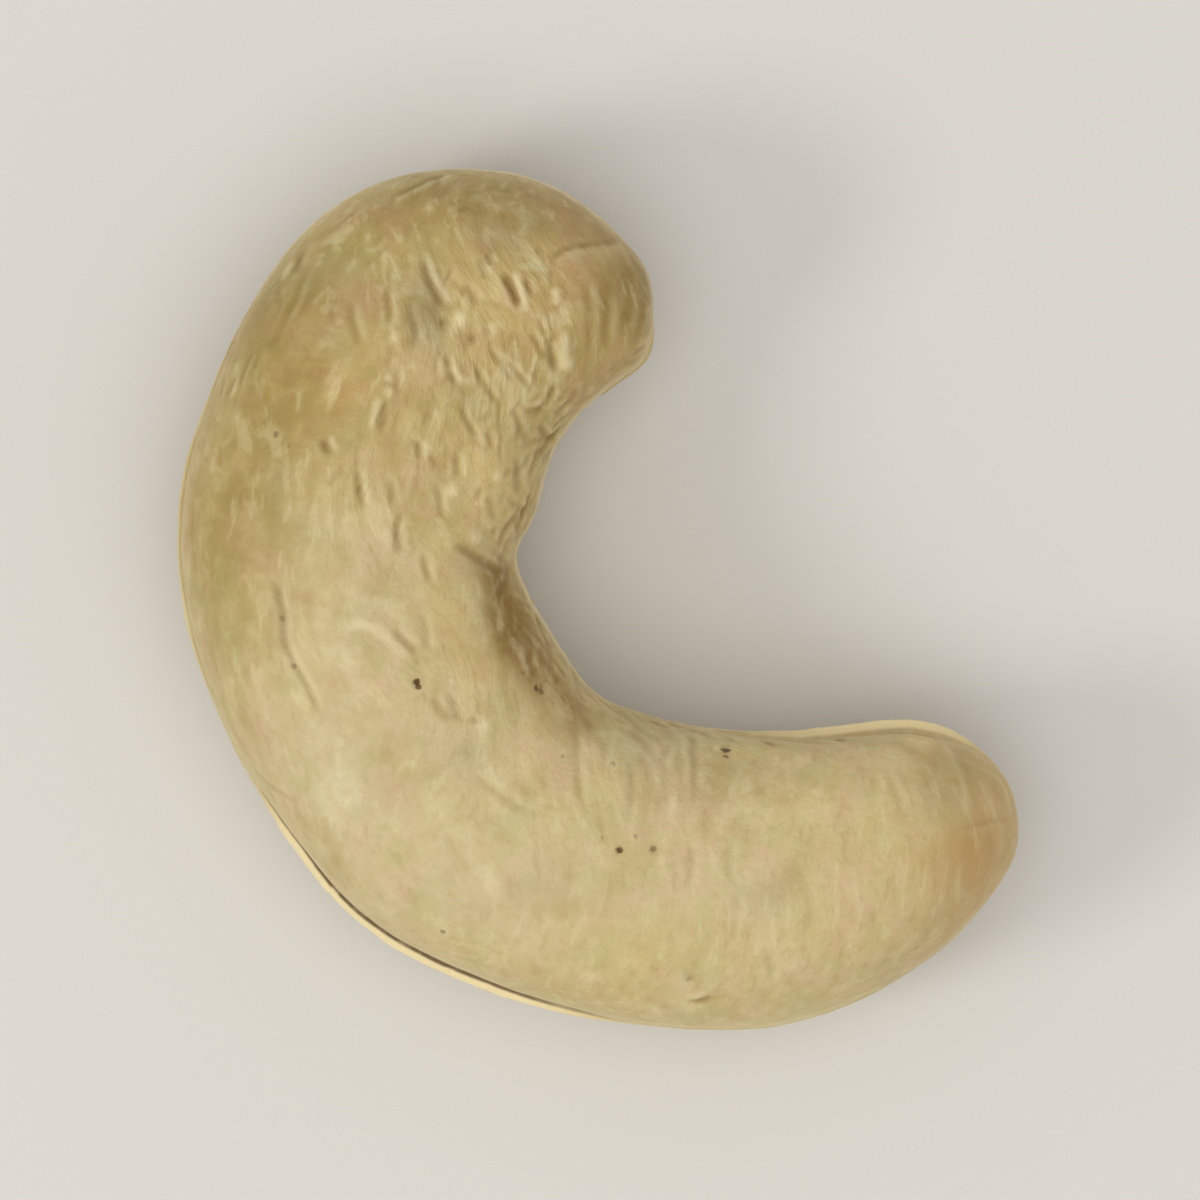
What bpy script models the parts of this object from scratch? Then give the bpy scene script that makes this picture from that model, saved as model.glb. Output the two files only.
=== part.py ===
"""Cashew kernel: one whole, shelled nut lying on its broad side.

Frame: metres, +Z up, origin at the centre of the bounding box's base.
The kernel curls in the XY plane. The curl opens towards +X: the blunt, hooked
end is at the top (+Y) and the longer, tapered end runs along the bottom (-Y).
The seam between the two grown-together halves lies in a level plane half way
up, so it follows the outer and the inner edge of the curl. On the underside a
shallow flat, where the kernel rests, lies at Z = 0.
"""

import math

import bmesh
import bpy

MM = 0.001

# ---------------------------------------------------------------- dimensions
# Cross-sections from the hooked end to the tapered end, all in millimetres:
# a point on the outer edge, the point across from it on the inner edge, half
# the thickness there, and the height of the seam plane above the table.
SECTIONS = (
    # outer x, y        inner x, y       half thickness, seam height
    ((1.40, 7.65), (1.40, 7.65), 0.00, 4.75),
    ((1.25, 8.90), (1.15, 6.60), 1.50, 4.75),
    ((0.45, 9.90), (0.50, 6.00), 2.65, 4.75),
    ((-0.90, 11.00), (-0.25, 5.35), 3.65, 4.75),
    ((-3.15, 11.65), (-0.80, 4.75), 4.40, 4.75),
    ((-6.05, 11.35), (-1.20, 4.10), 4.85, 4.75),
    ((-8.55, 9.35), (-1.45, 3.45), 5.10, 4.90),
    ((-10.25, 6.25), (-1.65, 2.75), 5.25, 5.05),
    ((-11.20, 3.35), (-1.95, 2.00), 5.35, 5.15),
    ((-11.30, 0.30), (-2.30, 1.20), 5.35, 5.15),
    ((-10.40, -2.90), (-1.90, 0.00), 5.35, 5.15),
    ((-8.95, -5.85), (-1.15, -1.20), 5.30, 5.10),
    ((-6.85, -8.45), (-0.25, -2.40), 5.20, 5.00),
    ((-4.10, -10.20), (0.80, -3.00), 5.10, 4.90),
    ((-1.10, -11.25), (2.15, -3.35), 5.00, 4.80),
    ((1.90, -11.65), (3.95, -3.55), 4.90, 4.70),
    ((4.80, -11.55), (5.90, -3.45), 4.75, 4.60),
    ((7.30, -10.75), (7.70, -3.25), 4.35, 4.55),
    ((9.30, -9.45), (9.20, -3.40), 3.65, 4.55),
    ((10.55, -8.10), (10.30, -4.05), 2.60, 4.55),
    ((11.20, -7.10), (11.05, -5.00), 1.35, 4.55),
    ((11.35, -6.15), (11.35, -6.15), 0.00, 4.55),
)
SQUARENESS = 2.25       # exponent of a section's outline: 2 is an ellipse
DORSAL_BULGE = 0.10     # how much thicker a section is towards the outer edge

CAGE_AROUND = 16        # cage vertices round a section
CAGE_ALONG = 32         # cage rings from end to end
SUBDIVISIONS = 1

FLAT_CUT = 4.0          # how far the cutter reaches below the table, mm
CUTTER_SIDE = 40.0      # side of the square cutter, mm

KERNEL_COLOUR = (0.565, 0.455, 0.245, 1.0)
KERNEL_ROUGHNESS = 0.52


# ---------------------------------------------------------------- splines
def closed_spline(values):
    """Second derivatives of the closed cubic spline through evenly spaced values."""
    n = len(values)
    bends = [0.0] * n
    for _ in range(60):
        for i in range(n):
            pull = 6.0 * (values[(i + 1) % n] - 2.0 * values[i] + values[i - 1])
            bends[i] = (pull - bends[i - 1] - bends[(i + 1) % n]) / 4.0
    return bends


def on_spline(values, bends, t):
    """The closed spline's value at parameter t, which wraps round."""
    n = len(values)
    i = math.floor(t)
    f = t - i
    g = 1.0 - f
    a, b = i % n, (i + 1) % n
    return (g * values[a] + f * values[b]
            + ((g ** 3 - g) * bends[a] + (f ** 3 - f) * bends[b]) / 6.0)


def loop(outer, inner):
    """Outer values from end to end, then the inner ones back: a closed run."""
    values = list(outer) + list(inner[-2:0:-1])
    return values, closed_spline(values)


LAST = len(SECTIONS) - 1
EDGE_X = loop([s[0][0] for s in SECTIONS], [s[1][0] for s in SECTIONS])
EDGE_Y = loop([s[0][1] for s in SECTIONS], [s[1][1] for s in SECTIONS])
# half thickness changes sign past an end, which rounds the end off smoothly
THICK = loop([s[2] for s in SECTIONS], [-s[2] for s in SECTIONS])
SEAM = loop([s[3] for s in SECTIONS], [s[3] for s in SECTIONS])


def surface_point(along, around, growth=1.0):
    """A point on the kernel, in millimetres.

    along runs from 0 at the hooked end to 1 at the tapered end, and around is
    the angle round the section: 0 on the outer edge, pi on the inner edge,
    positive over the top.
    """
    t = along * LAST
    ox, oy = on_spline(*EDGE_X, t), on_spline(*EDGE_Y, t)
    ix, iy = on_spline(*EDGE_X, -t), on_spline(*EDGE_Y, -t)
    c, s = math.cos(around), math.sin(around)
    across = math.copysign(abs(c) ** (2.0 / SQUARENESS), c) * growth
    up = math.copysign(abs(s) ** (2.0 / SQUARENESS), s) * growth
    up *= 1.0 + DORSAL_BULGE * across * (1.0 - abs(across) * 0.5)
    return (
        (ox + ix) / 2.0 + (ox - ix) / 2.0 * across,
        (oy + iy) / 2.0 + (oy - iy) / 2.0 * across,
        on_spline(*SEAM, t) + on_spline(*THICK, t) * up,
    )


# ---------------------------------------------------------------- building
def clear_scene():
    for old in list(bpy.data.objects):
        bpy.data.objects.remove(old, do_unlink=True)


def new_collection(name):
    made = bpy.data.collections.new(name)
    bpy.context.scene.collection.children.link(made)
    return made


def kernel_material():
    mat = bpy.data.materials.new("cashew_kernel")
    mat.use_nodes = True
    shader = mat.node_tree.nodes["Principled BSDF"]
    shader.inputs["Base Color"].default_value = KERNEL_COLOUR
    shader.inputs["Roughness"].default_value = KERNEL_ROUGHNESS
    shader.inputs["Metallic"].default_value = 0.0
    mat.diffuse_color = KERNEL_COLOUR
    return mat


def kernel_cage(collection):
    """A sphere whose poles become the two ends and whose rings the sections."""
    # the cage stands outside the smooth surface by this much
    growth = 3.0 / (2.0 + math.cos(2.0 * math.pi / CAGE_AROUND))
    bm = bmesh.new()
    bmesh.ops.create_uvsphere(bm, u_segments=CAGE_AROUND, v_segments=CAGE_ALONG, radius=1.0)
    for v in bm.verts:
        along = math.acos(max(-1.0, min(1.0, v.co.z))) / math.pi
        around = math.atan2(v.co.y, v.co.x)
        x, y, z = surface_point(along, around, growth)
        v.co = (x * MM, y * MM, z * MM)
    bmesh.ops.recalc_face_normals(bm, faces=bm.faces)
    mesh = bpy.data.meshes.new("cashew_kernel")
    bm.to_mesh(mesh)
    bm.free()
    obj = bpy.data.objects.new("cashew_kernel", mesh)
    collection.objects.link(obj)
    mesh.materials.append(kernel_material())
    mesh.shade_smooth()
    sub = obj.modifiers.new("soft_form", "SUBSURF")
    sub.levels = SUBDIVISIONS
    sub.render_levels = SUBDIVISIONS
    return obj


def table_cutter(collection):
    """A block whose top face is the table: it leaves the flat the kernel rests on."""
    bm = bmesh.new()
    bmesh.ops.create_cube(bm, size=1.0)
    bmesh.ops.scale(bm, vec=(CUTTER_SIDE * MM, CUTTER_SIDE * MM, FLAT_CUT * MM), verts=bm.verts)
    bmesh.ops.translate(bm, vec=(0.0, 0.0, -FLAT_CUT * MM / 2.0), verts=bm.verts)
    mesh = bpy.data.meshes.new("table_cutter")
    bm.to_mesh(mesh)
    bm.free()
    obj = bpy.data.objects.new("table_cutter", mesh)
    obj.display_type = "WIRE"
    obj.hide_render = True
    collection.objects.link(obj)
    return obj


def main():
    clear_scene()
    nut = new_collection("cashew_nut")
    guides = new_collection("cutters")
    kernel = kernel_cage(nut)
    cut = kernel.modifiers.new("resting_flat", "BOOLEAN")
    cut.operation = "DIFFERENCE"
    cut.solver = "EXACT"
    cut.object = table_cutter(guides)


main()
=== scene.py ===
"""Looks of the cashew kernel: a fine, wrinkled surface over the kernel's form, its
seam, creases and stains, a waxy seed-flesh material, a pale floor and soft light."""

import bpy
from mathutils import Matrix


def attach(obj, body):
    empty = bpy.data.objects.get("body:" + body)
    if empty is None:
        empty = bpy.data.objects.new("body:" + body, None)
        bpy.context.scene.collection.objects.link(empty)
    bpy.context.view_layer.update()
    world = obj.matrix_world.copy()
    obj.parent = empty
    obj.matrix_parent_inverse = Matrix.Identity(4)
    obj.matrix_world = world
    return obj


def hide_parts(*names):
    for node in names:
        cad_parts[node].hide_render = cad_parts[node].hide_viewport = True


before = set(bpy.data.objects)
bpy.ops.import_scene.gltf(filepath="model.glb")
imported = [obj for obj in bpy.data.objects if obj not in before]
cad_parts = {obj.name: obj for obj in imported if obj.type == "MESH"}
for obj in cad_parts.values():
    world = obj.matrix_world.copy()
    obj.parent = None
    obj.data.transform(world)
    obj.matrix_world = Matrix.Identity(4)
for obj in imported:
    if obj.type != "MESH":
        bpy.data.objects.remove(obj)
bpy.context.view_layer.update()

import math

import bpy
import numpy as np
from mathutils import Vector

MM = 0.001
NODE = "cashew_kernel"

# ================================================================ the form
# The kernel's cross-sections, in millimetres: a point on the outer edge, the one
# across from it on the inner edge, half the thickness, and the seam's height.
SECTIONS = (
    ((1.40, 7.65), (1.40, 7.65), 0.00, 4.75),
    ((1.25, 8.90), (1.15, 6.60), 1.50, 4.75),
    ((0.45, 9.90), (0.50, 6.00), 2.65, 4.75),
    ((-0.90, 11.00), (-0.25, 5.35), 3.65, 4.75),
    ((-3.15, 11.65), (-0.80, 4.75), 4.40, 4.75),
    ((-6.05, 11.35), (-1.20, 4.10), 4.85, 4.75),
    ((-8.55, 9.35), (-1.45, 3.45), 5.10, 4.90),
    ((-10.25, 6.25), (-1.65, 2.75), 5.25, 5.05),
    ((-11.20, 3.35), (-1.95, 2.00), 5.35, 5.15),
    ((-11.30, 0.30), (-2.30, 1.20), 5.35, 5.15),
    ((-10.40, -2.90), (-1.90, 0.00), 5.35, 5.15),
    ((-8.95, -5.85), (-1.15, -1.20), 5.30, 5.10),
    ((-6.85, -8.45), (-0.25, -2.40), 5.20, 5.00),
    ((-4.10, -10.20), (0.80, -3.00), 5.10, 4.90),
    ((-1.10, -11.25), (2.15, -3.35), 5.00, 4.80),
    ((1.90, -11.65), (3.95, -3.55), 4.90, 4.70),
    ((4.80, -11.55), (5.90, -3.45), 4.75, 4.60),
    ((7.30, -10.75), (7.70, -3.25), 4.35, 4.55),
    ((9.30, -9.45), (9.20, -3.40), 3.65, 4.55),
    ((10.55, -8.10), (10.30, -4.05), 2.60, 4.55),
    ((11.20, -7.10), (11.05, -5.00), 1.35, 4.55),
    ((11.35, -6.15), (11.35, -6.15), 0.00, 4.55),
)
SQUARENESS = 2.25
DORSAL_BULGE = 0.10
LAST = len(SECTIONS) - 1

AROUND = 256            # vertices round a section; a multiple of 8
ALONG = 344             # rings between the two end caps
CAP = 3.0               # sections covered by each end cap


def closed_spline(values):
    n = len(values)
    bends = [0.0] * n
    for _ in range(60):
        for i in range(n):
            pull = 6.0 * (values[(i + 1) % n] - 2.0 * values[i] + values[i - 1])
            bends[i] = (pull - bends[i - 1] - bends[(i + 1) % n]) / 4.0
    return np.array(values), np.array(bends)


def on_spline(spline, t):
    values, bends = spline
    n = len(values)
    i = np.floor(t).astype(int)
    f = t - i
    g = 1.0 - f
    a, b = i % n, (i + 1) % n
    return (g * values[a] + f * values[b]
            + ((g ** 3 - g) * bends[a] + (f ** 3 - f) * bends[b]) / 6.0)


def loop(outer, inner):
    return closed_spline(list(outer) + list(inner[-2:0:-1]))


EDGE_X = loop([s[0][0] for s in SECTIONS], [s[1][0] for s in SECTIONS])
EDGE_Y = loop([s[0][1] for s in SECTIONS], [s[1][1] for s in SECTIONS])
THICK = loop([s[2] for s in SECTIONS], [-s[2] for s in SECTIONS])
SEAM = loop([s[3] for s in SECTIONS], [s[3] for s in SECTIONS])


def edges_at(t):
    """Outer and inner edge points at station t, as (n, 2) arrays."""
    outer = np.stack([on_spline(EDGE_X, t), on_spline(EDGE_Y, t)], -1)
    inner = np.stack([on_spline(EDGE_X, -t), on_spline(EDGE_Y, -t)], -1)
    return outer, inner


def surface(t, phi):
    """Base surface in millimetres: t from 0 (hooked end) to LAST (tapered end),
    phi round the section, 0 on the outer edge, pi on the inner, positive over the top."""
    outer, inner = edges_at(t)
    c, s = np.cos(phi), np.sin(phi)
    # the section is round at the very ends and squarer between them
    near_end = np.clip(np.minimum(t, LAST - t) / 3.0, 0.0, 1.0)
    power = 2.0 / (2.0 + (SQUARENESS - 2.0) * near_end)
    across = np.sign(c) * np.abs(c) ** power
    up = np.sign(s) * np.abs(s) ** power
    up = up * (1.0 + DORSAL_BULGE * across * (1.0 - np.abs(across) * 0.5))
    xy = (outer + inner) / 2.0 + (outer - inner) / 2.0 * across[:, None]
    z = on_spline(SEAM, t) + on_spline(THICK, t) * up
    return np.concatenate([xy, z[:, None]], 1)


# ================================================================ helpers
def smooth(edge0, edge1, x):
    k = np.clip((x - edge0) / (edge1 - edge0), 0.0, 1.0)
    return k * k * (3.0 - 2.0 * k)


def px(x, y):
    """A place on the kernel, from the picture's 1200 x 1200 frame to millimetres."""
    return (x - 602.0) * 0.15, -(y - 799.15) * 0.15


class Noise:
    """Seeded gradient noise on arrays of points, roughly from -1 to 1."""

    def __init__(self, seed):
        rng = np.random.RandomState(seed)
        self.perm = np.concatenate([rng.permutation(256)] * 3)
        g = rng.normal(size=(256, 3))
        self.grad = g / np.linalg.norm(g, axis=1)[:, None]

    def __call__(self, p):
        i = np.floor(p).astype(int)
        f = p - i
        u = f * f * f * (f * (f * 6.0 - 15.0) + 10.0)
        i &= 255
        total = np.zeros(len(p))
        for dx in (0, 1):
            wx = u[:, 0] if dx else 1.0 - u[:, 0]
            ax = self.perm[(i[:, 0] + dx) & 255]
            for dy in (0, 1):
                wy = u[:, 1] if dy else 1.0 - u[:, 1]
                ay = self.perm[ax + ((i[:, 1] + dy) & 255)]
                for dz in (0, 1):
                    wz = u[:, 2] if dz else 1.0 - u[:, 2]
                    h = self.perm[ay + ((i[:, 2] + dz) & 255)]
                    d = f - np.array([dx, dy, dz])
                    total += wx * wy * wz * (self.grad[h] * d).sum(1)
        return total * 1.6

    def layers(self, p, octaves=3, gain=0.5):
        total, amp = np.zeros(len(p)), 1.0
        for k in range(octaves):
            total += amp * self(p * (2.0 ** k) + 17.3 * k)
            amp *= gain
        return total


def to_line(xy, points):
    """Distance of each xy from a polyline, its signed side, and how far along it (0..1)."""
    pts = np.array(points, float)
    seg = np.diff(pts, axis=0)
    lengths = np.hypot(seg[:, 0], seg[:, 1])
    starts = np.concatenate([[0.0], np.cumsum(lengths)])
    best = np.full(len(xy), 1e9)
    side = np.zeros(len(xy))
    along = np.zeros(len(xy))
    for k, (a, d, l) in enumerate(zip(pts[:-1], seg, lengths)):
        rel = xy - a
        h = np.clip(rel @ d / (l * l), 0.0, 1.0)
        off = rel - h[:, None] * d
        dist = np.hypot(off[:, 0], off[:, 1])
        nearer = dist < best
        best = np.where(nearer, dist, best)
        cross = (d[0] * rel[:, 1] - d[1] * rel[:, 0]) / l
        side = np.where(nearer, cross, side)
        along = np.where(nearer, (starts[k] + h * l) / starts[-1], along)
    return best, side, along


def rounded(points, times=2):
    """A polyline with its corners cut, so that it bends smoothly."""
    pts = [np.array(p, float) for p in points]
    for _ in range(times):
        out = [pts[0]]
        for a, b in zip(pts[:-1], pts[1:]):
            out += [a * 0.75 + b * 0.25, a * 0.25 + b * 0.75]
        pts = out + [pts[-1]]
    return pts


# ================================================================ the mesh grid
def around_angles():
    """Maps 0..1 to the angle round a section, closer together at the seam."""
    fine = np.linspace(-math.pi, math.pi, 7201)
    from_outer = np.abs((fine + math.pi) % (2 * math.pi) - math.pi)
    from_inner = math.pi - from_outer
    density = 1.0 + 0.30 * np.sin(fine)
    density += 1.4 * np.exp(-(from_outer / 0.09) ** 2) + 1.2 * np.exp(-(from_inner / 0.09) ** 2)
    total = np.concatenate([[0.0], np.cumsum((density[1:] + density[:-1]) / 2.0)])
    total /= total[-1]
    return lambda u: np.interp(u % 1.0, total, fine)


def ring_stations(count):
    """Stations of the rings, evenly spaced by the arc they cover on the surface."""
    fine = np.linspace(CAP, LAST - CAP, 2001)
    outer, inner = edges_at(fine)

    def run(e):
        return np.hypot(*np.diff(e, axis=0).T)

    step = 0.6 * run(outer) + 0.4 * run((outer + inner) / 2.0)
    total = np.concatenate([[0.0], np.cumsum(step)])
    return np.interp(np.linspace(0.0, total[-1], count), total, fine)


def build_grid():
    """Stations and angles of every vertex, and the quads: a tube closed by two
    square-grid caps. The seam runs along a grid line of each cap."""
    angle = around_angles()
    half = AROUND // 8
    t, phi, quads = [], [], []

    def cap(mirror):
        index = {}
        rim = []
        for i in range(-half, half + 1):
            for j in range(-half, half + 1):
                r = max(abs(i), abs(j))
                if r == 0:
                    u = 0.0
                elif i == r and j < r:
                    u = j / (8.0 * r)
                elif j == r and i > -r:
                    u = 0.125 + (r - i) / (8.0 * r)
                elif i == -r and j > -r:
                    u = 0.375 + (r - j) / (8.0 * r)
                else:
                    u = 0.625 + (i + r) / (8.0 * r)
                u %= 1.0
                station = CAP * r / half
                index[i, j] = len(t)
                t.append(LAST - station if mirror else station)
                phi.append(float(angle(u)))
                if r == half:
                    rim.append((u, index[i, j]))
        for i in range(-half, half):
            for j in range(-half, half):
                q = (index[i, j], index[i + 1, j], index[i + 1, j + 1], index[i, j + 1])
                quads.append(q[::-1] if mirror else q)
        return [k for _, k in sorted(rim)]

    first = cap(False)
    last = cap(True)
    rings = [first]
    ring_phi = angle(np.arange(AROUND) / AROUND)
    for station in ring_stations(ALONG)[1:-1]:
        start = len(t)
        t.extend([station] * AROUND)
        phi.extend(ring_phi)
        rings.append(list(range(start, start + AROUND)))
    rings.append(last)
    for a, b in zip(rings[:-1], rings[1:]):
        for k in range(AROUND):
            n = (k + 1) % AROUND
            quads.append((a[k], b[k], b[n], a[n]))
    return np.array(t, float), np.array(phi, float), np.array(quads, np.int64)


def mesh_from(name, points, quads):
    mesh = bpy.data.meshes.new(name)
    flat = quads.astype(np.int32).ravel()
    mesh.vertices.add(len(points))
    mesh.vertices.foreach_set("co", (points * MM).astype(np.float32).ravel())
    mesh.loops.add(flat.size)
    mesh.loops.foreach_set("vertex_index", flat)
    mesh.polygons.add(len(quads))
    mesh.polygons.foreach_set("loop_start", np.arange(0, flat.size, 4, dtype=np.int32))
    mesh.update(calc_edges=True)
    mesh.validate()
    return mesh


def normals_of(points, quads):
    """Smooth vertex normals of the quad mesh."""
    face = np.cross(points[quads[:, 2]] - points[quads[:, 0]],
                    points[quads[:, 3]] - points[quads[:, 1]])
    out = np.zeros_like(points)
    for axis in range(3):
        for k in range(4):
            out[:, axis] += np.bincount(quads[:, k], weights=face[:, axis], minlength=len(points))
    return out / np.maximum(np.linalg.norm(out, axis=1), 1e-12)[:, None]


def blurred(values, quads, times):
    """Values averaged with their neighbours along the mesh's edges."""
    n = len(values)
    a = np.concatenate([quads[:, k] for k in range(4)])
    b = np.concatenate([quads[:, (k + 1) % 4] for k in range(4)])
    count = np.bincount(a, minlength=n) + np.bincount(b, minlength=n)
    for _ in range(times):
        total = (np.bincount(a, weights=values[b], minlength=n)
                 + np.bincount(b, weights=values[a], minlength=n))
        values = 0.5 * values + 0.5 * total / count
    return values


def seam_wander(t, on_outer):
    """How far the seam strays from its level plane, in millimetres; none at the ends."""
    away = np.where(on_outer, 0.17 * np.sin(0.95 * t + 0.4) + 0.07 * np.sin(2.6 * t + 2.2),
                    0.15 * np.sin(0.80 * t + 3.3) + 0.06 * np.sin(2.1 * t + 0.7))
    return away * smooth(0.8, 4.0, t) * (1.0 - smooth(16.5, 20.0, t))


t, phi, quads = build_grid()
on_outer = np.abs(phi) < math.pi / 2.0
stray = seam_wander(t, on_outer)
# the rows of points by the seam follow it
swing = np.sign(stray) * (np.abs(stray) / np.maximum(np.abs(on_spline(THICK, t)), 1.0)) ** 1.125
swing *= np.where(on_outer, np.exp(-(phi / 0.45) ** 2), -np.exp(-((math.pi - np.abs(phi)) / 0.45) ** 2))
base = surface(t, phi + swing)
normal = normals_of(base, quads)
count = len(base)
print("grid:", count, "vertices,", 2 * len(quads), "triangles")

# ================================================================ relief
xy = base[:, :2]
seam_height = base[:, 2] - on_spline(SEAM, t)      # above (+) or below (-) the seam plane
top = smooth(0.0, 0.10, normal[:, 2]) * (phi > 0.0)

rise = np.zeros(count)          # how far each point moves out along its normal, mm
painted_crease_shade = np.zeros(count)        # painted shade in creases, beyond what the relief alone gives
painted_highlight = np.zeros(count)         # painted highlights on pale crests, lips, grains and flecks


def blob(x, y, rx, ry, turn=0.0, soft=1.0):
    """1 at a place of the picture's frame, falling to 0; radii in its pixels."""
    cx, cy = px(x, y)
    dx, dy = xy[:, 0] - cx, xy[:, 1] - cy
    a = math.radians(turn)
    u = (dx * math.cos(a) + dy * math.sin(a)) / (rx * 0.15)
    v = (-dx * math.sin(a) + dy * math.cos(a)) / (ry * 0.15)
    return np.exp(-((u * u + v * v) ** soft))


# --- broad unevenness of the flesh
lump = Noise(11)
rise += 0.075 * lump(base / 6.5) + 0.045 * lump(base / 3.1 + 40.0)

# --- how wrinkled each part is: most on the hooked arm, least on the long one
wave = Noise(23)
warped = base + np.stack([wave(base / 5.0), wave(base / 5.0 + 31.0), wave(base / 5.0 + 67.0)], 1) * 0.9
wrinkled = 0.26 + 0.20 * wave(base / 4.5 + 9.0)
wrinkled += top * (0.85 * blob(584, 755, 24, 27, 0, 1.5) + 0.50 * blob(566, 783, 16, 24, 0, 1.2)
                   + 0.24 * blob(608, 831, 17, 11, 0, 1.2) + 0.22 * blob(578, 812, 10, 12))
wrinkled *= 1.0 - 0.55 * top * blob(604, 745, 9, 10, 0, 2.0)
wrinkled += (1.0 - top) * 0.36
wrinkled = np.clip(wrinkled, 0.08, 1.20)

# the grain leans one way on the hooked arm, fanning out, and is upright elsewhere
FAN_X, FAN_Y = px(567, 750)
fan_x = 3.4 * np.tanh((xy[:, 0] - FAN_X) / 3.4)
fan_y = 3.0 * np.tanh((xy[:, 1] - FAN_Y) / 3.0)
lean_angle = np.radians(25.0) * np.clip(fan_x / 3.0, -0.5, 1.0) * np.exp(-(np.minimum(xy[:, 1] - FAN_Y + 1.0, 0.0) / 4.0) ** 2) * top

# --- fine soft ridges, drawn out along the grain
streak = Noise(37)
lean = np.stack([warped[:, 0] + 0.14 * fan_x * fan_y + 0.06 * warped[:, 1], warped[:, 1], warped[:, 2]], 1)
ridges = streak(lean / np.array([0.58, 2.1, 0.85])) + 0.60 * streak(lean / np.array([0.33, 1.05, 0.5]) + 50.0)
rise += 0.025 * wrinkled * ridges

# sharper, narrow furrows between the ridges
furrow = Noise(41)
line = np.abs(furrow(lean / np.array([0.80, 3.2, 1.2]) + 11.0))
cut = np.exp(-(line / 0.075) ** 2)
gate = smooth(0.0, 0.40, wave(base / 2.2 + 77.0))
rise -= 0.022 * wrinkled * cut * gate
# painted shade along the furrows
painted_crease_shade += 0.12 * wrinkled * cut * gate


# --- strokes seen on the upper face, from the picture's frame
small = Noise(53)
jitter = np.stack([small(base / 0.9), small(base / 0.9 + 21.0)], 1) * 0.045


def fold_shape(s, w, right, left):
    """A narrow groove at s = 0 with a raised lip on each side."""
    return (right * np.exp(-((s - 1.75 * w) / (1.05 * w)) ** 2)
            + left * np.exp(-((s + 1.75 * w) / (1.05 * w)) ** 2) - np.exp(-(s / w) ** 2))


def stroke(points, width=0.7, depth=0.05, right=0.75, left=0.25, taper=0.3, dark=0.45):
    """A groove, or with a negative depth a ridge, down along points of the picture. width is in the picture's pixels;
    right and left are the lips, as shares of depth. A groove also gets painted shade along it, by dark, and a painted
    highlight by its larger lip; a ridge gets a painted highlight."""
    global rise, painted_crease_shade, painted_highlight
    dist, side, along = to_line(xy + jitter, rounded([px(*p) for p in points]))
    w = width * 0.15
    fade = smooth(0.0, taper, along) * smooth(0.0, taper, 1.0 - along) * top
    beside = np.where(along <= 0.0, dist, np.where(along >= 1.0, dist, np.abs(side)))
    beside = np.copysign(beside, side)
    strong = 1.0 if points[0][1] < 776.0 else 0.8
    if depth < 0.0:
        rise = rise - 0.8 * depth * np.exp(-(beside / w) ** 2) * fade
        painted_highlight = painted_highlight - strong * depth / 0.14 * np.exp(-(beside / w) ** 2) * fade
    else:
        rise = rise + 0.66 * strong * depth * fold_shape(beside, w, right, left) * fade
        painted_crease_shade = painted_crease_shade + strong * dark * np.exp(-((beside + 0.2 * w) / w) ** 2) * fade
        place = 1.6 * w if right > left else -1.6 * w
        painted_highlight = painted_highlight + 0.5 * strong * depth / 0.09 * np.exp(-((beside - place) / (0.8 * w)) ** 2) * fade ** 2


# the hooked arm
stroke([(569.2, 736.4), (571.3, 741.3), (573.2, 745.2), (575.2, 748.2)], 0.70, 0.080, 0.95, 0.2, dark=0.55)
stroke([(584.8, 740.0), (586.2, 743.6), (587.9, 747.4)], 0.85, 0.135, 0.90, 0.2, dark=1.0)
stroke([(589.3, 750.7), (591.2, 754.0), (592.9, 757.2)], 0.65, 0.045)
stroke([(592.4, 752.0), (593.3, 755.4), (594.4, 759.0)], 0.75, 0.085, 0.4, 0.1, dark=0.85)
stroke([(595.4, 749.8), (595.7, 754.6), (596.3, 759.0)], 1.0, -0.095)
stroke([(593.9, 742.6), (593.8, 744.6), (594.2, 747.0)], 0.9, -0.070)
stroke([(574.1, 753.8), (575.2, 758.4), (576.8, 762.3)], 0.60, 0.042)
stroke([(583.9, 755.2), (587.2, 758.4), (590.2, 762.6)], 0.60, 0.042)
stroke([(579.6, 757.0), (582.0, 761.5), (584.4, 764.8)], 0.60, 0.038)
stroke([(581.6, 753.0), (584.4, 757.0), (587.0, 761.0)], 0.60, 0.034)
stroke([(577.0, 763.4), (578.4, 767.6), (580.6, 771.0)], 0.65, 0.040)
stroke([(586.2, 764.4), (588.0, 768.0), (589.2, 772.0)], 0.65, 0.040)
stroke([(564.0, 762.6), (562.9, 766.2), (562.0, 769.8)], 0.75, 0.075, 0.3, 0.8, dark=0.6)
stroke([(569.1, 770.0), (569.5, 774.6)], 0.75, 0.060, 0.9, 0.2, dark=0.65)
stroke([(552.4, 770.0), (553.9, 773.6)], 0.8, 0.045)
stroke([(590.9, 767.4), (591.9, 769.0), (593.2, 770.6)], 0.7, 0.065, dark=0.6)
stroke([(563.0, 742.0), (564.2, 746.6), (564.6, 750.8)], 0.7, 0.034)
stroke([(567.4, 744.6), (568.6, 750.0), (569.4, 754.4)], 0.7, 0.034)
stroke([(580.2, 737.4), (581.7, 742.4)], 0.7, 0.034)
stroke([(578.0, 742.6), (580.2, 746.4)], 0.7, 0.034)
stroke([(588.4, 741.0), (589.6, 745.4)], 0.7, 0.030)
stroke([(599.2, 740.5), (599.6, 747.0), (600.0, 755.8)], 0.7, 0.026, dark=0.30)
stroke([(602.4, 741.5), (602.9, 748.0), (602.2, 755.0)], 0.8, 0.024, dark=0.30)
stroke([(606.4, 742.5), (606.7, 747.0), (605.6, 751.5)], 0.8, 0.020, dark=0.25)
stroke([(586.6, 772.6), (587.6, 777.0), (587.2, 781.2)], 0.7, 0.045)
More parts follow.
